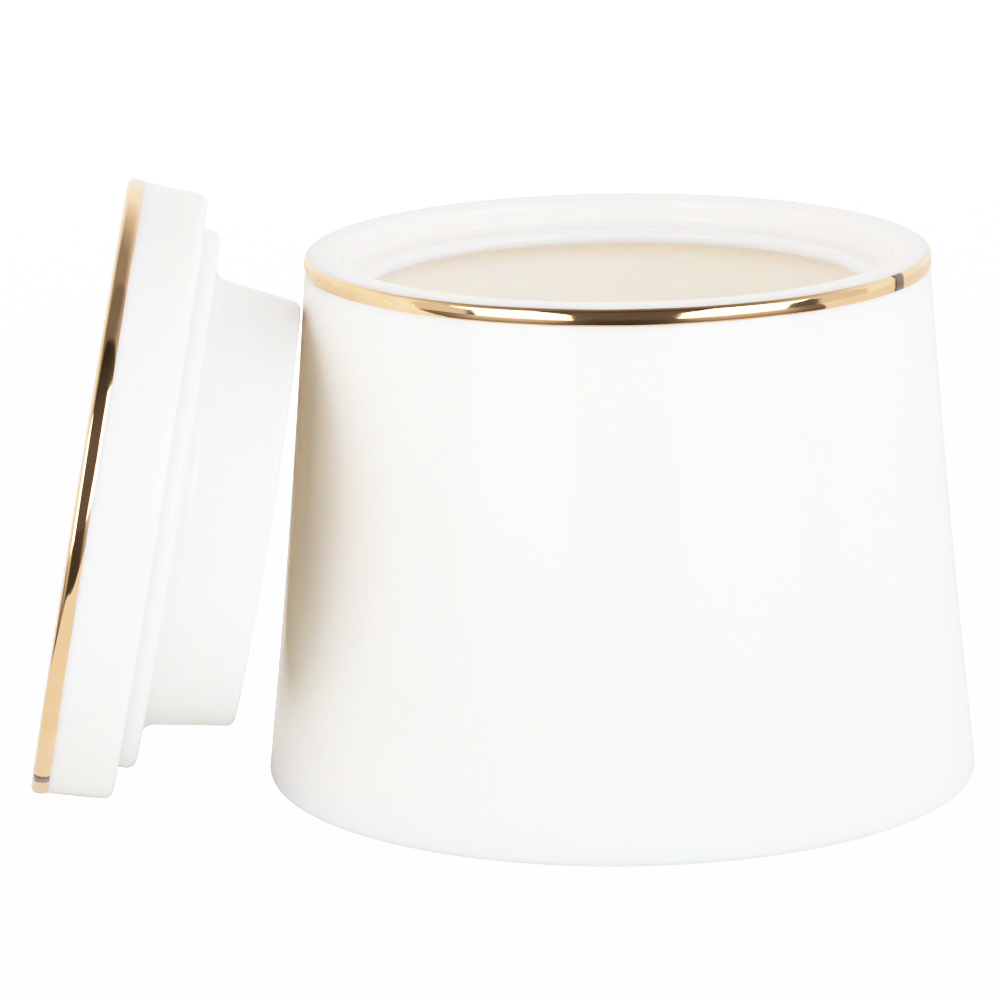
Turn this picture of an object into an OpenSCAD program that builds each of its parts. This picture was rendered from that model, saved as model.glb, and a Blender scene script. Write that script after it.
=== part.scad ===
// Porcelain cream jar: a flared cast body with a recessed mouth, a drop-in lid that leans on the
// jar's side, and a raised gold line on each of the two.
// Z is the jar's axis and the jar stands on z = 0. The lid leans on the -X side.

/* [Jar] */
// Outer diameter at the rim
rim_d = 80; // [76:0.5:84]
// Height of the jar without its lid
jar_h = 68.8; // [60:0.1:80]
// Outer diameter at the foot
base_d = 92.2; // [88:0.1:98]
// Depth of the hollow sweep of the side, from foot to shoulder
flare_sag = 0.35; // [0.2:0.05:1.2]
// Thickness of the cast wall
wall_t = 4; // [3:0.1:4.5]
// Thickness of the floor inside the foot ring
floor_t = 4; // [3:0.1:6]
// Rounding of the shoulder
shoulder_round = 0.9; // [0.6:0.1:2]
// Rounding of the edge at the foot
foot_round = 0.8; // [0.5:0.1:1.5]
// Width of the foot ring
foot_w = 4; // [3:0.5:6]
// Height of the hollow under the foot
foot_rise = 1.2; // [0.8:0.1:2]

/* [Mouth] */
// Diameter of the recess that takes the lid's step
seat_d = 70.6; // [70.4:0.1:71.5]
// Depth of the recess below the rim
seat_depth = 3.6; // [3:0.1:4.5]
// Diameter of the opening
mouth_d = 62.8; // [61:0.1:66]
// Thickness of the rounded lip round the opening
lip_t = 2; // [1.6:0.1:2.6]
// Rounding of the rim's inner edge
rim_round = 1.1; // [0.6:0.1:1.4]
// Rounding at the bottom of the recess
seat_round = 1; // [0.5:0.1:1.4]

/* [Lid] */
// Diameter of the disc at its top edge
lid_d = 79.4; // [76:0.1:80]
// Thickness of the disc
lid_t = 10.5; // [9:0.1:12]
// How much the disc's radius shrinks towards its underside
lid_draft = 0.5; // [0:0.1:1]
// Rounding of the disc's top edge
lid_round = 0.8; // [0.6:0.1:2]
// Rounding of the disc's lower edge
under_round = 1.2; // [0.8:0.1:1.6]
// Diameter of the locating step
step_d = 69.8; // [69:0.1:70]
// Height of the locating step
step_h = 2.3; // [1.8:0.1:2.8]
// Rounding of the step's edge
step_round = 1.3; // [0.8:0.1:1.6]
// Diameter of the plug where it leaves the step
plug_root_d = 58.2; // [56:0.1:60]
// Diameter of the plug at its end
plug_end_d = 55; // [52:0.1:55.5]
// Length of the plug below the step
plug_h = 11.5; // [10:0.1:13]
// Hollow rounding between the plug and the step
root_round = 1.8; // [1:0.1:2.2]
// Rounding of the plug's end
end_round = 1; // [0.6:0.1:1.4]
// Thickness of the lid's cast wall
lid_wall = 3.6; // [3:0.1:4]

/* [Gold lines] */
// Height of the gold above the glaze
gold_t = 0.3; // [0.3:0.05:0.4]
// How far up the rounded edge the gold reaches, in degrees from the side
gold_reach = 58; // [35:1:60]
// Distance of the gold's lower edge below the top face
gold_drop = 2.2; // [2.1:0.05:2.6]

/* [Lid at rest] */
// Angle of the leaning lid's disc from the vertical
lean = 10.65; // [8:0.05:14]
// Sideways place of the lid's axis, towards the front
lean_side = -5; // [-12:0.5:0]
// Clearance between the plug's edge and the jar's side
lean_gap = 0.3; // [0.2:0.05:0.5]

/* [Hidden] */
$fn = 144;
// Segments of the very large circles that sweep the jar's side
SWEEP_FN = 1440;
// Overshoot of a cut past the surface that it opens
CUT = 1;

rim_r = rim_d / 2;
base_r = base_d / 2;
seat_r = seat_d / 2;
mouth_r = mouth_d / 2;
lid_r = lid_d / 2;
lid_low_r = lid_r - lid_draft;
step_r = step_d / 2;
plug_root_r = plug_root_d / 2;
plug_end_r = plug_end_d / 2;

// The side is an arc, hollow towards the outside, from the foot's edge to the shoulder.
sweep_low = foot_round;
sweep_high = jar_h - shoulder_round;
sweep_dx = base_r - rim_r;
sweep_dz = sweep_high - sweep_low;
sweep_chord = sqrt(sweep_dx * sweep_dx + sweep_dz * sweep_dz);
sweep_r = sweep_chord * sweep_chord / (8 * flare_sag) + flare_sag / 2;
sweep_x = (base_r + rim_r) / 2 + (sweep_r - flare_sag) * sweep_dz / sweep_chord;
sweep_z = (sweep_low + sweep_high) / 2 + (sweep_r - flare_sag) * sweep_dx / sweep_chord;

// Radius of the jar's side, set in by a given thickness, at a height.
function side_r(z, inset) =
    sweep_x - sqrt(pow(sweep_r + inset, 2) - pow(z - sweep_z, 2));

// Hollow of the jar.
cave_floor = foot_rise + floor_t;
cave_low_round = 6;
cave_high_round = 3;
seat_z = jar_h - seat_depth;
lip_z = seat_z - lip_t / 2;
cave_top = seat_z - lip_t;
cave_low_r = side_r(cave_floor + cave_low_round, wall_t);
cave_high_r = side_r(cave_top - cave_high_round, wall_t);

// Plug of the lid.
plug_z = -step_h - plug_h;
plug_angle = atan((plug_root_r - plug_end_r) / plug_h);
root_x = plug_root_r - root_round * tan(plug_angle) + root_round / cos(plug_angle);
root_z = -step_h - root_round;
lid_cave_round = 1.5;
bore_top_r = plug_root_r - lid_wall;
bore_end_r = plug_end_r - lid_wall;
lid_cave_r = lid_low_r - lid_wall;
lid_cave_low = lid_wall - step_h;
lid_cave_high = lid_t - lid_wall;

// Place of the leaning lid. Its lower edge is on z = 0. Its plug's rounded edge stays clear of the
// side all along its upper half, where the angle a runs from -90 to 90 degrees round the edge.
lid_z = (lid_low_r - under_round) * cos(lean) + under_round * (1 - sin(lean));
edge_run = end_round + plug_z;
edge_reach = plug_end_r - end_round;
clear_t = end_round + lean_gap;
function edge_y(a) = lean_side + edge_reach * sin(a);
function edge_z(a) = lid_z + edge_run * sin(lean) + edge_reach * cos(a) * cos(lean);
function clear_x(a) = sqrt(pow(side_r(edge_z(a), 0) + clear_t, 2) - pow(edge_y(a), 2));
function lean_x(a) = edge_run * cos(lean) - edge_reach * cos(a) * sin(lean) - clear_x(a);
lid_x = min([for (a = [-90:90]) lean_x(a)]);

// Outline of a block from the axis to radius r, between two heights, with one rounded corner.
module rounded_low(r, low, high, round_r) {
    translate([0, low + round_r]) square([r, high - low - round_r]);
    translate([0, low]) square([r - round_r, round_r]);
    translate([r - round_r, low + round_r]) circle(round_r);
}

module rounded_high(r, low, high, round_r) {
    translate([0, low]) square([r, high - low - round_r]);
    translate([0, high - round_r]) square([r - round_r, round_r]);
    translate([r - round_r, high - round_r]) circle(round_r);
}

// Everything outside the arc of the jar's side, set in by a thickness.
module sweep(inset) {
    translate([sweep_x, sweep_z]) circle(sweep_r + inset, $fn = SWEEP_FN);
}

module jar_outline() {
    difference() {
        rounded_low(base_r, 0, sweep_high, foot_round);
        sweep(0);
    }
    rounded_high(rim_r, sweep_high - shoulder_round, jar_h, shoulder_round);
}

module jar_cave() {
    difference() {
        union() {
            rounded_low(cave_low_r, cave_floor, cave_floor + 2 * cave_low_round, cave_low_round);
            translate([0, cave_floor + cave_low_round])
                square([base_r, cave_top - cave_high_round - cave_floor - cave_low_round]);
            rounded_high(cave_high_r, cave_top - 2 * cave_high_round, cave_top, cave_high_round);
        }
        sweep(wall_t);
    }
}

module jar_mouth() {
    difference() {
        union() {
            rounded_low(seat_r, seat_z, jar_h + CUT, seat_round);
            translate([0, jar_h - rim_round]) square([seat_r + rim_round, rim_round + CUT]);
            translate([0, cave_top]) square([mouth_r + lip_t / 2, lip_t]);
        }
        translate([seat_r + rim_round, jar_h - rim_round]) circle(rim_round);
        translate([mouth_r + lip_t / 2, lip_z]) circle(lip_t / 2);
    }
}

module foot_hollow() {
    outer = base_r - foot_w;
    polygon([[0, -CUT], [outer + foot_rise, -CUT], [outer + foot_rise, 0], [outer, foot_rise], [0, foot_rise]]);
}

module jar_body() {
    color("white")
        rotate_extrude()
            difference() {
                jar_outline();
                jar_cave();
                jar_mouth();
                foot_hollow();
            }
}

module lid_outline() {
    tip_r = plug_end_r + end_round * tan(plug_angle);
    difference() {
        union() {
            polygon([
                [0, plug_z], [plug_end_r - end_round, plug_z], [tip_r, plug_z + end_round],
                [root_x - root_round * cos(plug_angle), root_z + root_round * sin(plug_angle)],
                [root_x, -step_h], [step_r - step_round, -step_h], [step_r, step_round - step_h],
                [step_r, 0], [lid_low_r - under_round, 0], [lid_low_r, under_round],
                [lid_r, lid_t - lid_round], [lid_r - lid_round, lid_t], [0, lid_t]]);
            translate([plug_end_r - end_round, plug_z + end_round]) circle(end_round);
            translate([step_r - step_round, step_round - step_h]) circle(step_round);
            translate([lid_low_r - under_round, under_round]) circle(under_round);
            translate([lid_r - lid_round, lid_t - lid_round]) circle(lid_round);
        }
        translate([root_x, root_z]) circle(root_round);
    }
}

module lid_cave() {
    polygon([[0, plug_z - CUT], [bore_end_r, plug_z - CUT], [bore_end_r, plug_z], [bore_top_r, -step_h],
        [bore_top_r, lid_cave_low + lid_cave_round], [0, lid_cave_low + lid_cave_round]]);
    rounded_low(lid_cave_r, lid_cave_low, lid_cave_high - lid_cave_round, lid_cave_round);
    rounded_high(lid_cave_r, lid_cave_low + lid_cave_round, lid_cave_high, lid_cave_round);
}

// Section of a gold line round a rounded top edge. Its child is the porcelain that it lies on.
module gold_section(edge_r, top_z, round_r) {
    reach = 3 * round_r;
    low = top_z - gold_drop;
    round_z = top_z - round_r;
    difference() {
        intersection() {
            union() {
                translate([edge_r - round_r, round_z]) circle(round_r + gold_t);
                translate([edge_r - round_r, low - CUT]) square([round_r + gold_t, round_z - low + CUT]);
            }
            translate([edge_r - round_r, 0])
                polygon([[0, low], [reach, low], [reach, round_z],
                    [reach * cos(gold_reach), round_z + reach * sin(gold_reach)], [0, round_z]]);
        }
        children();
    }
}

module jar_gold_line() {
    color("gold")
        rotate_extrude()
            gold_section(rim_r, jar_h, shoulder_round)
                rounded_high(rim_r, jar_h - 2 * gold_drop, jar_h, shoulder_round);
}

// Puts a lid piece, drawn closed with its disc's underside on z = 0, into its leaning place.
module leaning() {
    translate([lid_x, lean_side, lid_z]) rotate([0, lean - 90, 0]) children();
}

module lid_body() {
    color("white")
        leaning()
            rotate_extrude()
                difference() {
                    lid_outline();
                    lid_cave();
                }
}

module lid_gold_line() {
    color("gold")
        leaning()
            rotate_extrude()
                gold_section(lid_r, lid_t, lid_round)
                    lid_outline();
}

jar_body();
jar_gold_line();
lid_body();
lid_gold_line();
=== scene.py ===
"""Looks of a white porcelain cream jar with a gold line, whose lid leans on its side.

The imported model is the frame. Every outline is turned again here at a finer step, with true normals, so
that glaze and gold reflect cleanly, and each finish is made of nodes.
"""

import math

import bpy
import numpy as np
from mathutils import Matrix, Quaternion, Vector


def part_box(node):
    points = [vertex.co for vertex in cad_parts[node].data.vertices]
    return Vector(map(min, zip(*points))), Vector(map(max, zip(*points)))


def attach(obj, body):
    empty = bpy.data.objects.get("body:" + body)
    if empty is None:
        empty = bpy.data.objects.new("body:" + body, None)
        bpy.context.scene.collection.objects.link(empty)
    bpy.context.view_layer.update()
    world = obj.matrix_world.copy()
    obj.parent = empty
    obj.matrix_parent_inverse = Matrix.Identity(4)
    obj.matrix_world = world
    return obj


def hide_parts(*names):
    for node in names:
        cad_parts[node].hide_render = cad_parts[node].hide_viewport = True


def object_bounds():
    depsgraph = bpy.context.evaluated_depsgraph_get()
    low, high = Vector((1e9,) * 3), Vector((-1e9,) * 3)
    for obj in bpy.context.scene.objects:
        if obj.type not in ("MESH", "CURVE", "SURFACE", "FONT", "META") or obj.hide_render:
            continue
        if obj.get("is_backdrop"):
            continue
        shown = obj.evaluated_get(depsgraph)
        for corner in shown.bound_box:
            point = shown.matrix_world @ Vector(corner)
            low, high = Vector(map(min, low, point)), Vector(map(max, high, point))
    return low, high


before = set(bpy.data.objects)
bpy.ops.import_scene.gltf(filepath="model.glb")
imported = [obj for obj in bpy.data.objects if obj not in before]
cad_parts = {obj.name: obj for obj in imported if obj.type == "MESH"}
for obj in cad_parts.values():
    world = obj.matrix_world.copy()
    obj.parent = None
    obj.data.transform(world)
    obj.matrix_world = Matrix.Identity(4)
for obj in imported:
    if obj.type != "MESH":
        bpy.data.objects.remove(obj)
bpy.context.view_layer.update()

MM = 0.001

# Outlines, in millimetres.
RIM_R = 40
JAR_H = 68.8
BASE_R = 46.1
FLARE_SAG = 0.35
FOOT_ROUND = 0.8
WALL = 4
CAVE_FLOOR = 5.2
CAVE_TOP = 63.2
CAVE_TOP_ROUND = 3
CAVE_FLOOR_ROUND = 6
SHOULDER_ROUND = 0.9
SEAT_R = 35.3
SEAT_Z = 65.2
RIM_IN_ROUND = 1.1
SEAT_ROUND = 1
MOUTH_R = 31.4
LIP_ROUND = 0.999
FOOT_IN_R = 42.1
FOOT_IN_ROUND = 0.5
FOOT_EDGE_ROUND = 0.4
FOOT_RISE = 1.2

LID_R = 39.7
LID_T = 10.5
LID_LOW_R = 39.2
LID_ROUND = 0.8
LID_UNDER_ROUND = 1.2
STEP_R = 34.9
STEP_ROUND = 1.3
STEP_ROOT_ROUND = 0.3
STEP_Z = -2.3
PLUG_ROOT_R = 29.1
PLUG_END_R = 27.5
PLUG_Z = -13.8
PLUG_ROOT_ROUND = 1.8
PLUG_EDGE_ROUND = 1
LID_WALL = 3.6
BORE_TOP_R = PLUG_ROOT_R - LID_WALL
BORE_END_R = PLUG_END_R - LID_WALL
LID_CAVE_R = LID_LOW_R - LID_WALL
LID_CAVE_LOW = LID_WALL + STEP_Z
LID_CAVE_HIGH = LID_T - LID_WALL
LID_CAVE_ROUND = 1.5
BORE_ROUND = 0.5

GOLD_T = 0.15
GOLD_REACH = math.radians(58)
GOLD_DROP = 2.35
GOLD_SINK = 0.01
GOLD_ROWS = 41

LEAN = math.radians(10.65)

# Camera.
FOCAL = 5.2706
SENSOR = 36
DISTANCE = 0.6829
ELEVATION = math.radians(13.46)
AZIMUTH = math.radians(-3.084)
AIM = Vector((0, 0, 0.0348))
TURN_LEFT = math.atan(0.1196 / FOCAL)
TURN_UP = math.atan(0.006 / FOCAL)
ROLL = math.radians(-0.554)

# Light.
AMBIENT_SIDE = 2.3
AMBIENT_TOP = 0.15
AMBIENT_COLOUR = (1, 0.905, 0.85)
SHOW_WHITE = 3.2
OBJECT_WHITE = 0.975
WHITE_POINT = 1.6
TONE_POWER = 3
TONE_STEPS = (0.05, 0.1, 0.2, 0.3, 0.4, 0.5, 0.65, 0.8, 1)

COOL_LEFT = (0.65, 0.8, 1)
COOL_RIGHT = (0.6, 0.78, 1)
SOFTBOX_D = 0.8
SHINE_D = 0.78
SOFTBOX_TALL = 0.75
SOFTBOX_HEIGHT = 0.34
SHINE_HEIGHT = 0.16
SHINE_TALL = 0.8
SHINE_ROLL = 24
SNOOT_HEIGHT = 0.9
SNOOT_WATTS = 10
SNOOT_COLOUR = (1, 0.9, 0.76)
SNOOT_FILL = 0.9

FLAG_HALF_ANGLE = 76
FLAG_STEP = 4
FLAG_NEAR, FLAG_FAR = 0.13, 0.6
FLAG_HEIGHT = 0.001

# The set that gloss sees: how bright it is in front, beside and behind.
ROOM_FRONT = 0.07
ROOM_SIDE = 0.62
ROOM_BEHIND_MORE = 0.36
ROOM_SLANT = -0.135

# Mesh.
TURNS = 360
GOLD_TURNS = 1081
LAP_T = 0.16
LAP_HALF = 1.1
LAP_REACH = 0.03
LAP_STEPS = 40
JOIN_MARK = 0.0045
ARC_STEP = math.radians(5)


def outward(along):
    """Normal of an outline that runs this way: the side of the air."""
    return Vector((along.y, -along.x)).normalized()


def turned(v, angle):
    cos, sin = math.cos(angle), math.sin(angle)
    return Vector((v.x * cos - v.y * sin, v.x * sin + v.y * cos))


def outline(corners):
    """Points and their normals along an outline, from its corners: (radius, height, rounding)."""
    places = [Vector(c[:2]) for c in corners]
    found = []
    for i, here in enumerate(places):
        rounding = corners[i][2]
        arriving = here - places[i - 1] if i else places[1] - here
        leaving = places[i + 1] - here if i + 1 < len(places) else arriving
        arriving, leaving = arriving.normalized(), leaving.normalized()
        if not rounding:
            found.append((here, outward(arriving + leaving)))
            continue
        turn = math.atan2(arriving.x * leaving.y - arriving.y * leaving.x, arriving.dot(leaving))
        start = here - arriving * rounding * math.tan(abs(turn) / 2)
        bulge = math.copysign(rounding, turn)
        centre = start - outward(arriving) * bulge
        steps = max(2, math.ceil(abs(turn) / ARC_STEP))
        for k in range(steps + 1):
            normal = turned(outward(arriving), turn * k / steps)
            found.append((centre + normal * bulge, normal))
    return found


def lathe(name, points, turns, materials, slots=()):
    """Turns an outline round Z. Its first and last points lie on the axis."""
    angle = np.arange(turns) * 2 * math.pi / turns
    cos, sin = np.cos(angle), np.sin(angle)
    verts, normals, rings = [], [], []
    for place, normal in points:
        if place.x < 1e-6:
            rings.append([len(verts)] * turns)
            verts.append((0, 0, place.y * MM))
            normals.append((0, 0, math.copysign(1, normal.y)))
            continue
        rings.append(list(range(len(verts), len(verts) + turns)))
        verts.extend(zip(place.x * cos * MM, place.x * sin * MM, [place.y * MM] * turns))
        normals.extend(zip(normal.x * cos, normal.x * sin, [normal.y] * turns))
    faces, marks = [], []
    for i in range(len(rings) - 1):
        low, high = rings[i], rings[i + 1]
        for j in range(turns):
            k = (j + 1) % turns
            corners = [low[j], low[k], high[k], high[j]]
            faces.append(list(dict.fromkeys(corners)))
            marks.append(slots[i] if slots else 0)
    mesh = bpy.data.meshes.new(name)
    mesh.from_pydata([tuple(map(float, v)) for v in verts], [], faces)
    for m in materials:
        mesh.materials.append(m)
    mesh.polygons.foreach_set("material_index", marks)
    mesh.shade_smooth()
    mesh.normals_split_custom_set_from_vertices([tuple(map(float, n)) for n in normals])
    made = bpy.data.objects.new(name, mesh)
    bpy.context.scene.collection.objects.link(made)
    return made


# The jar's side is an arc, hollow towards the outside.
side_low, side_high = FOOT_ROUND, JAR_H - SHOULDER_ROUND
side_dx, side_dz = BASE_R - RIM_R, side_high - side_low
side_chord = math.hypot(side_dx, side_dz)
sweep_r = side_chord**2 / (8 * FLARE_SAG) + FLARE_SAG / 2
sweep_x = (BASE_R + RIM_R) / 2 + (sweep_r - FLARE_SAG) * side_dz / side_chord
sweep_z = (side_low + side_high) / 2 + (sweep_r - FLARE_SAG) * side_dx / side_chord


def side_r(z, inset=0):
    return sweep_x - math.sqrt((sweep_r + inset) ** 2 - (z - sweep_z) ** 2)


def side_run(low, high, inset=0, steps=10):
    return [(side_r(z, inset), z, 0) for z in np.linspace(low, high, steps)]


jar_corners = (
    [(0, FOOT_RISE, 0), (FOOT_IN_R, FOOT_RISE, FOOT_IN_ROUND), (FOOT_IN_R + FOOT_RISE, 0, FOOT_EDGE_ROUND)]
    + [(side_r(0), 0, FOOT_ROUND)]
    + side_run(3, side_high - 1)
    + [(side_r(JAR_H), JAR_H, SHOULDER_ROUND), (SEAT_R, JAR_H, RIM_IN_ROUND), (SEAT_R, SEAT_Z, SEAT_ROUND)]
    + [(MOUTH_R, SEAT_Z, LIP_ROUND), (MOUTH_R, CAVE_TOP, LIP_ROUND)]
    + [(side_r(CAVE_TOP, WALL), CAVE_TOP, CAVE_TOP_ROUND)]
    + side_run(56, 18, WALL)
    + [(side_r(CAVE_FLOOR, WALL), CAVE_FLOOR, CAVE_FLOOR_ROUND), (0, CAVE_FLOOR, 0)]
)


def lid_side_r(z):
    """The lid's side runs straight between its two roundings."""
    low_z, high_z = LID_UNDER_ROUND, LID_T - LID_ROUND
    return LID_LOW_R + (LID_R - LID_LOW_R) * (z - low_z) / (high_z - low_z)


lid_corners = [
    (0, LID_CAVE_HIGH, 0),
    (LID_CAVE_R, LID_CAVE_HIGH, LID_CAVE_ROUND),
    (LID_CAVE_R, LID_CAVE_LOW, LID_CAVE_ROUND),
    (BORE_TOP_R, LID_CAVE_LOW, BORE_ROUND),
    (BORE_TOP_R, STEP_Z, BORE_ROUND),
    (BORE_END_R, PLUG_Z, PLUG_EDGE_ROUND),
    (PLUG_END_R, PLUG_Z, PLUG_EDGE_ROUND),
    (PLUG_ROOT_R, STEP_Z, PLUG_ROOT_ROUND),
    (STEP_R, STEP_Z, STEP_ROUND),
    (STEP_R, 0, STEP_ROOT_ROUND),
    (lid_side_r(0), 0, LID_UNDER_ROUND),
    (lid_side_r(LID_T), LID_T, LID_ROUND),
    (0, LID_T, 0),
]


def wander(seed, waves, size):
    """A smooth closed wander round a circle, as a function of the angle, never further out than size."""
    source = np.random.default_rng(seed)
    parts = [(n, source.uniform(0, 2 * math.pi), source.uniform(0.5, 1) / n**0.5) for n in waves]
    total = sum(p[2] for p in parts)
    return lambda a: size * sum(s * np.sin(n * a + p) for n, p, s in parts) / total


def gold_line(name, side, top_z, round_r, join, material, seed):
    """A raised gold line round a rounded top edge, laid by hand: its edges wander and its ends overlap."""
    step = np.linspace(0, 1, LAP_STEPS) * LAP_REACH
    around = np.concatenate([np.linspace(0, 2 * math.pi, GOLD_TURNS), step, 2 * math.pi - step])
    angle = join + np.unique(around.round(7))
    low_wander = wander(seed, (2, 3, 5, 9, 14, 23), 0.1)(angle)
    high_wander = wander(seed + 1, (2, 4, 7, 11, 19), 0.09)(angle)
    swell = wander(seed + 2, (3, 8, 17, 31), 0.012)(angle)
    round_z = top_z - round_r
    edge_r = side(round_z)
    straight = round_z - (top_z - GOLD_DROP)
    bend = round_r * GOLD_REACH
    across = (1 - np.cos(np.linspace(0, math.pi, GOLD_ROWS))) / 2
    verts, uvs = [], []
    for a, dl, dh, ds in zip(angle, low_wander, high_wander, swell):
        off = (a - join + math.pi) % (2 * math.pi) - math.pi
        lap = LAP_T / (1 + (off * edge_r / LAP_HALF) ** 12)
        start = -straight + 0.1 + dl
        end = bend - 0.09 + dh
        for t in across:
            s = start + (end - start) * t
            skin = (GOLD_T + ds + lap) * (1 - abs(2 * t - 1) ** 3) - GOLD_SINK
            tilt = max(0.0, s / round_r)
            r = side(min(round_z + s, round_z)) - round_r + (round_r + skin) * math.cos(tilt)
            z = round_z + min(s, 0.0) + (round_r + skin) * math.sin(tilt)
            verts.append((r * math.cos(a) * MM, r * math.sin(a) * MM, z * MM))
            uvs.append(((a - join) / (2 * math.pi), s * MM))
    n = len(across)
    faces = []
    for j in range(len(angle) - 1):
        for i in range(n - 1):
            faces.append((j * n + i, (j + 1) * n + i, (j + 1) * n + i + 1, j * n + i + 1))
    mesh = bpy.data.meshes.new(name)
    mesh.from_pydata(verts, [], faces)
    layer = mesh.uv_layers.new(name="UVMap")
    flat = np.array([uvs[l.vertex_index] for l in mesh.loops], np.float32)
    layer.data.foreach_set("uv", flat.ravel())
    mesh.materials.append(material)
    mesh.shade_smooth()
    made = bpy.data.objects.new(name, mesh)
    bpy.context.scene.collection.objects.link(made)
    return made


# --- Materials ---


def new_material(name):
    m = bpy.data.materials.new(name)
    m.use_nodes = True
    nodes, links = m.node_tree.nodes, m.node_tree.links
    shader = next(n for n in nodes if n.type == "BSDF_PRINCIPLED")
    return m, nodes, links, shader


def noise(nodes, links, vector, scale, detail, rough=0.5):
    n = nodes.new("ShaderNodeTexNoise")
    n.inputs["Scale"].default_value = scale
    n.inputs["Detail"].default_value = detail
    n.inputs["Roughness"].default_value = rough
    links.new(vector, n.inputs["Vector"])
    return n.outputs["Fac"]


def ranged(nodes, links, value, low, high, out_low, out_high):
    n = nodes.new("ShaderNodeMapRange")
    n.inputs["From Min"].default_value = low
    n.inputs["From Max"].default_value = high
    n.inputs["To Min"].default_value = out_low
    n.inputs["To Max"].default_value = out_high
    links.new(value, n.inputs["Value"])
    return n.outputs["Result"]


def blended(nodes, links, factor, a, b):
    """A mix of a, which is a colour or the output of another node, and the colour b."""
    n = nodes.new("ShaderNodeMix")
    n.data_type = "RGBA"
    if isinstance(a, tuple):
        n.inputs["A"].default_value = (*a, 1)
    else:
        links.new(a, n.inputs["A"])
    n.inputs["B"].default_value = (*b, 1)
    links.new(factor, n.inputs["Factor"])
    return n.outputs["Result"]


def bumped(nodes, links, shader, height, strength, distance):
    n = nodes.new("ShaderNodeBump")
    n.inputs["Strength"].default_value = strength
    n.inputs["Distance"].default_value = distance
    links.new(height, n.inputs["Height"])
    links.new(n.outputs["Normal"], shader.inputs["Normal"])


def maths(nodes, links, operation, *values):
    """A Math node. Each value is a number or the output of another node."""
    n = nodes.new("ShaderNodeMath")
    n.operation = operation
    for socket, value in zip(n.inputs, values):
        if isinstance(value, (int, float)):
            socket.default_value = value
        else:
            links.new(value, socket)
    return n.outputs[0]


def porcelain():
    m, nodes, links, shader = new_material("glazed_porcelain")
    where = nodes.new("ShaderNodeTexCoord").outputs["Object"]
    cloud = noise(nodes, links, where, 45, 2)
    tint = ranged(nodes, links, cloud, 0.35, 0.65, 0, 1)
    colour = blended(nodes, links, tint, (0.945, 0.925, 0.89), (0.955, 0.938, 0.908))
    links.new(colour, shader.inputs["Base Color"])
    smear = noise(nodes, links, where, 130, 3)
    links.new(ranged(nodes, links, smear, 0.3, 0.7, 0.1, 0.14), shader.inputs["Roughness"])
    bumped(nodes, links, shader, noise(nodes, links, where, 170, 1), 0.12, 0.0002)
    shader.inputs["IOR"].default_value = 1.5
    shader.inputs["Subsurface Weight"].default_value = 1
    shader.inputs["Subsurface Radius"].default_value = (1.0, 0.55, 0.28)
    shader.inputs["Subsurface Scale"].default_value = 0.006
    return m


# Painted light: the lid's bore and cave are painted amber. The colour stands in for warm bounce light
# inside the hollow and tints the shade and reflection on the jar's flank beside it.
def painted_warm_bounce():
    m, nodes, links, shader = new_material("lid_inside_painted_bounce")
    where = nodes.new("ShaderNodeTexCoord").outputs["Object"]
    cloud = noise(nodes, links, where, 60, 3)
    tint = ranged(nodes, links, cloud, 0.35, 0.65, 0, 1)
    colour = blended(nodes, links, tint, (0.975, 0.86, 0.68), (0.98, 0.88, 0.72))
    links.new(colour, shader.inputs["Base Color"])
    grain = noise(nodes, links, where, 900, 3)
    links.new(ranged(nodes, links, grain, 0.3, 0.7, 0.3, 0.45), shader.inputs["Roughness"])
    bumped(nodes, links, shader, grain, 0.2, 0.0001)
    return m


def bisque():
    m, nodes, links, shader = new_material("bare_foot")
    where = nodes.new("ShaderNodeTexCoord").outputs["Object"]
    grain = noise(nodes, links, where, 1400, 4)
    colour = blended(nodes, links, grain, (0.74, 0.70, 0.64), (0.83, 0.80, 0.75))
    links.new(colour, shader.inputs["Base Color"])
    links.new(ranged(nodes, links, grain, 0.3, 0.7, 0.6, 0.8), shader.inputs["Roughness"])
    bumped(nodes, links, shader, grain, 0.3, 0.0001)
    return m


def gold():
    """Fired gold. U is the part of a turn from the join, V is in metres across the line."""
    m, nodes, links, shader = new_material("fired_gold")
    where = nodes.new("ShaderNodeTexCoord").outputs["UV"]

    def stretched(along):
        n = nodes.new("ShaderNodeMapping")
        n.inputs["Scale"].default_value = (along, 1, 1)
        links.new(where, n.inputs["Vector"])
        return n.outputs["Vector"]

    turn_length = 2 * math.pi * RIM_R * MM
    true_size = stretched(turn_length)
    streak = noise(nodes, links, stretched(0.12 * turn_length), 3500, 3)
    cloud = noise(nodes, links, true_size, 160, 2)
    tint = ranged(nodes, links, cloud, 0.35, 0.65, 0, 1)
    colour = blended(nodes, links, tint, (0.93, 0.54, 0.27), (0.97, 0.60, 0.32))

    # The join's burnt mark has a ragged edge.
    split = nodes.new("ShaderNodeSeparateXYZ")
    links.new(where, split.inputs[0])
    from_join = maths(nodes, links, "PINGPONG", split.outputs["X"], 0.5)
    fray = noise(nodes, links, true_size, 2500, 2)
    ragged = maths(nodes, links, "MULTIPLY_ADD", fray, -JOIN_MARK, from_join)
    burnt = ranged(nodes, links, ragged, 0.55 * JOIN_MARK, 0.75 * JOIN_MARK, 1, 0)
    links.new(blended(nodes, links, burnt, colour, (0.16, 0.10, 0.065)), shader.inputs["Base Color"])
    shader.inputs["Metallic"].default_value = 1
    links.new(ranged(nodes, links, streak, 0.3, 0.7, 0.05, 0.09), shader.inputs["Roughness"])
    bumped(nodes, links, shader, noise(nodes, links, true_size, 700, 1), 0.05, 0.0001)
    return m


glaze = porcelain()
foot_clay = bisque()
bright_gold = gold()

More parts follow.
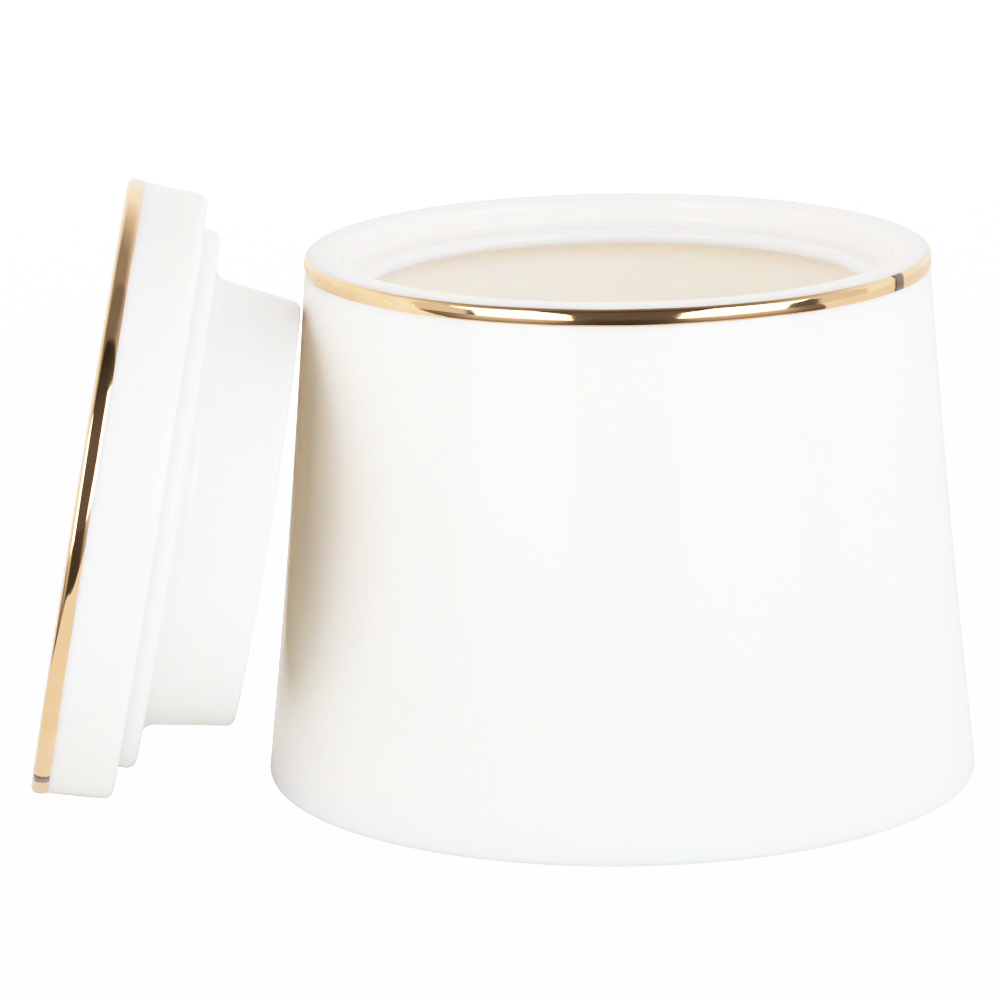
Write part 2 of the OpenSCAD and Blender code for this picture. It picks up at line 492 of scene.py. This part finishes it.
jar_points = outline(jar_corners)
jar_slots = [
    int(max(jar_points[i][0].y, jar_points[i + 1][0].y) < 0.25 and jar_points[i][0].x > FOOT_IN_R)
    for i in range(len(jar_points) - 1)
]
jar = lathe("jar_porcelain", jar_points, TURNS, [glaze, foot_clay], jar_slots)
jar_gold = gold_line("jar_gold", side_r, JAR_H, SHOULDER_ROUND, math.radians(-32.3), bright_gold, 11)
lid_points = outline(lid_corners)


def inside_lid(place):
    """Whether a point of the lid's outline is in its bore or in the cave above it."""
    in_bore = place.x < BORE_TOP_R + 0.3 and place.y < LID_CAVE_HIGH + 0.1
    in_cave = LID_CAVE_LOW - 0.1 < place.y < LID_CAVE_HIGH + 0.1 and place.x < LID_CAVE_R + 0.1
    return in_bore or in_cave


# The lid's bore and cave take the amber of painted warm bounce light.
lid_slots = [int(inside_lid(place)) for place, _ in lid_points[:-1]]
lid = lathe("lid_porcelain", lid_points, TURNS, [glaze, painted_warm_bounce()], lid_slots)
lid_gold = gold_line("lid_gold", lid_side_r, LID_T, LID_ROUND, math.radians(214), bright_gold, 23)

# Place of the leaning lid, from its CAD box.
lid_low, lid_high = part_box("lid_body")
corner_r, corner_z = LID_R - LID_ROUND, LID_T - LID_ROUND
lid_x = lid_low.x + (corner_r * math.sin(LEAN) + corner_z * math.cos(LEAN) + LID_ROUND) * MM
lid_z = lid_high.z - (corner_r * math.cos(LEAN) + corner_z * math.sin(LEAN) + LID_ROUND) * MM
lid_y = (lid_low.y + lid_high.y) / 2
leaning = Matrix.Translation((lid_x, lid_y, lid_z)) @ Matrix.Rotation(LEAN - math.pi / 2, 4, "Y")
lid.data.transform(leaning)
lid_gold.data.transform(leaning)

for piece, body, node, slot in (
    (jar, "jar", "jar_body", "porcelain"),
    (jar_gold, "jar", "jar_gold_line", "gold"),
    (lid, "lid", "lid_body", "porcelain"),
    (lid_gold, "lid", "lid_gold_line", "gold"),
):
    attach(piece, body)
    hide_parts(node)

# --- Stage ---


def disc(name, radius, height, material):
    mesh = bpy.data.meshes.new(name)
    n = 128
    around = [2 * math.pi * k / n for k in range(n)]
    ring = [(radius * math.cos(a), radius * math.sin(a), 0) for a in around]
    mesh.from_pydata(ring, [], [list(range(n))])
    mesh.materials.append(material)
    made = bpy.data.objects.new(name, mesh)
    made.location.z = height
    bpy.context.scene.collection.objects.link(made)
    made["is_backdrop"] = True
    return made


def pale_floor(name, near, far):
    m, nodes, links, shader = new_material(name)
    where = nodes.new("ShaderNodeTexCoord").outputs["Object"]
    length = nodes.new("ShaderNodeVectorMath")
    length.operation = "LENGTH"
    links.new(where, length.inputs[0])
    speck = noise(nodes, links, where, 400, 2)
    colour = blended(nodes, links, speck, (0.88, 0.88, 0.88), (0.90, 0.90, 0.90))
    links.new(colour, shader.inputs["Base Color"])
    shader.inputs["Roughness"].default_value = 0.9
    shader.inputs["Emission Color"].default_value = (1, 1, 1, 1)
    glow = ranged(nodes, links, length.outputs["Value"], 0.15, 0.8, near, far)
    links.new(glow, shader.inputs["Emission Strength"])
    return m


# The floor that the camera sees is lifted to the white of the background. The one under it only gives back
# light.
floor = disc("floor", 3, -0.00005, pale_floor("pale_floor", 1.9, SHOW_WHITE))
floor.visible_diffuse = False
floor.visible_glossy = False
floor.visible_transmission = False
floor.visible_shadow = False
bounce = disc("floor_bounce", 0.6, -0.0001, pale_floor("bounce_floor", 0, 0))
bounce.visible_camera = False


def aside(angle, distance, height):
    """A place round the jar. The angle is from the camera's side, to the viewer's right."""
    a = AZIMUTH - math.pi / 2 + math.radians(angle)
    return Vector((math.cos(a) * distance, math.sin(a) * distance, height))


def softbox(name, angle, distance, height, width, tall, watts, colour=(1, 1, 1), shine=True, roll=0):
    """A soft light. Gloss alone sees it, or with shine off, everything but gloss does."""
    data = bpy.data.lights.new(name, "AREA")
    data.shape = "RECTANGLE"
    data.size, data.size_y = width, tall
    data.energy = watts
    data.color = colour
    made = bpy.data.objects.new(name, data)
    made.location = aside(angle, distance, height)
    made.rotation_mode = "QUATERNION"
    facing = (made.location - Vector((0, 0, 0.05))).to_track_quat("Z", "Y")
    made.rotation_quaternion = facing @ Quaternion((0, 0, 1), math.radians(roll))
    made.visible_camera = False
    made.visible_glossy = shine
    made.visible_diffuse = not shine
    bpy.context.scene.collection.objects.link(made)
    return made


# A shine light stands nearer than the softbox beside it: two at one distance would hide each other.
softbox("softbox_left", -40, SOFTBOX_D, SOFTBOX_HEIGHT, 0.5, SOFTBOX_TALL, 0.7, COOL_LEFT, shine=False)
softbox("softbox_right", 47, SOFTBOX_D, SOFTBOX_HEIGHT, 0.56, SOFTBOX_TALL, 1.9, COOL_RIGHT, shine=False)
softbox("shine_left", -38, SHINE_D, SHINE_HEIGHT, 0.46, SHINE_TALL, 4.6, roll=SHINE_ROLL)
softbox("shine_right", 46, SHINE_D, SHINE_HEIGHT, 0.54, SHINE_TALL, 5.2, roll=-SHINE_ROLL)

# The snoot lights the hollow through the mouth and nothing outside it.
snoot = bpy.data.lights.new("snoot", "SPOT")
snoot.energy = SNOOT_WATTS
snoot.color = SNOOT_COLOUR
snoot.spot_size = 2 * math.atan(MOUTH_R * SNOOT_FILL * MM / (SNOOT_HEIGHT - JAR_H * MM))
snoot.spot_blend = 0.3
snoot.shadow_soft_size = 0.01
snoot_object = bpy.data.objects.new("snoot", snoot)
snoot_object.location.z = SNOOT_HEIGHT
bpy.context.scene.collection.objects.link(snoot_object)

# A black flag on the floor, seen only in gloss, darkens the lower part of the reflections.
flag_mat, nodes, links, shader = new_material("black_flag")
shader.inputs["Base Color"].default_value = (0.01, 0.008, 0.006, 1)
mesh = bpy.data.meshes.new("flag")
sweep = range(-FLAG_HALF_ANGLE, FLAG_HALF_ANGLE + 1, FLAG_STEP)
rim = [(a, FLAG_NEAR) for a in sweep] + [(a, FLAG_FAR) for a in reversed(sweep)]
mesh.from_pydata([tuple(aside(a, d, FLAG_HEIGHT)) for a, d in rim], [], [list(range(len(rim)))])
mesh.materials.append(flag_mat)
flag = bpy.data.objects.new("flag", mesh)
bpy.context.scene.collection.objects.link(flag)
flag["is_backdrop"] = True
flag.visible_camera = False
flag.visible_diffuse = False
flag.visible_shadow = False
flag.visible_transmission = False

# World. The camera sees white. Gloss sees a set that is white behind and beside the jar, and dark in front
# of it and overhead. Everything else takes a pale warm light that comes mostly from the sides.
world = bpy.data.worlds.new("studio")
bpy.context.scene.world = world
world.use_nodes = True
nodes, links = world.node_tree.nodes, world.node_tree.links
nodes.clear()
out = nodes.new("ShaderNodeOutputWorld")
direction = nodes.new("ShaderNodeTexCoord").outputs["Generated"]
split = nodes.new("ShaderNodeSeparateXYZ")
links.new(direction, split.inputs[0])
aslant = maths(nodes, links, "MULTIPLY_ADD", split.outputs["X"], ROOM_SLANT, split.outputs["Y"])
wall = ranged(nodes, links, aslant, -0.42, -0.38, ROOM_FRONT, ROOM_SIDE)
behind = ranged(nodes, links, aslant, 0, 0.04, 0, ROOM_BEHIND_MORE)
high = ranged(nodes, links, split.outputs["Z"], 0.5, 0.9, 1, 0.2)
gloss_level = maths(nodes, links, "MULTIPLY", maths(nodes, links, "ADD", wall, behind), high)
side_level = ranged(nodes, links, split.outputs["Z"], 0, 1, AMBIENT_SIDE, AMBIENT_TOP)
path = nodes.new("ShaderNodeLightPath")


def background(level, colour=(1, 1, 1)):
    """A background whose strength is a number or the output of another node."""
    n = nodes.new("ShaderNodeBackground")
    n.inputs["Color"].default_value = (*colour, 1)
    if isinstance(level, (int, float)):
        n.inputs["Strength"].default_value = level
    else:
        links.new(level, n.inputs["Strength"])
    return n.outputs[0]


def picked(factor, a, b):
    n = nodes.new("ShaderNodeMixShader")
    links.new(factor, n.inputs[0])
    links.new(a, n.inputs[1])
    links.new(b, n.inputs[2])
    return n.outputs[0]


room = background(gloss_level)
ambient = background(side_level, AMBIENT_COLOUR)
white = background(SHOW_WHITE * 1.1)
shown = picked(path.outputs["Is Glossy Ray"], ambient, room)
links.new(picked(path.outputs["Is Camera Ray"], shown, white), out.inputs[0])

# --- Camera ---
level_x, level_y = -math.sin(AZIMUTH) * math.cos(ELEVATION), math.cos(AZIMUTH) * math.cos(ELEVATION)
to_aim = Vector((level_x, level_y, -math.sin(ELEVATION)))
forward = to_aim.copy()
right = forward.cross(Vector((0, 0, 1))).normalized()
up = right.cross(forward)
left_turn = Matrix.Rotation(TURN_LEFT, 3, up)
forward, right = left_turn @ forward, left_turn @ right
up_turn = Matrix.Rotation(TURN_UP, 3, right)
forward, up = up_turn @ forward, up_turn @ up
cos, sin = math.cos(ROLL), math.sin(ROLL)
right, up = right * cos + up * sin, up * cos - right * sin
lens = bpy.data.cameras.new("camera")
lens.sensor_width = SENSOR
lens.lens = FOCAL * SENSOR
lens.clip_start, lens.clip_end = 0.01, 20
camera = bpy.data.objects.new("camera", lens)
facing = Matrix((right, up, -forward)).transposed().to_4x4()
camera.matrix_world = Matrix.Translation(AIM - to_aim * DISTANCE) @ facing
bpy.context.scene.collection.objects.link(camera)
bpy.context.scene.camera = camera

# Tone: the object's light tones round off just under white, and only the floor and the background reach it.
view = bpy.context.scene.view_settings
view.view_transform = "Standard"
view.use_curve_mapping = True
curves = view.curve_mapping
curves.white_level = (SHOW_WHITE,) * 3
response = curves.curves[3]
for x in TONE_STEPS:
    response.points.new(x * WHITE_POINT / SHOW_WHITE, OBJECT_WHITE * (1 - (1 - x) ** TONE_POWER))
curves.update()

low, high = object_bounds()
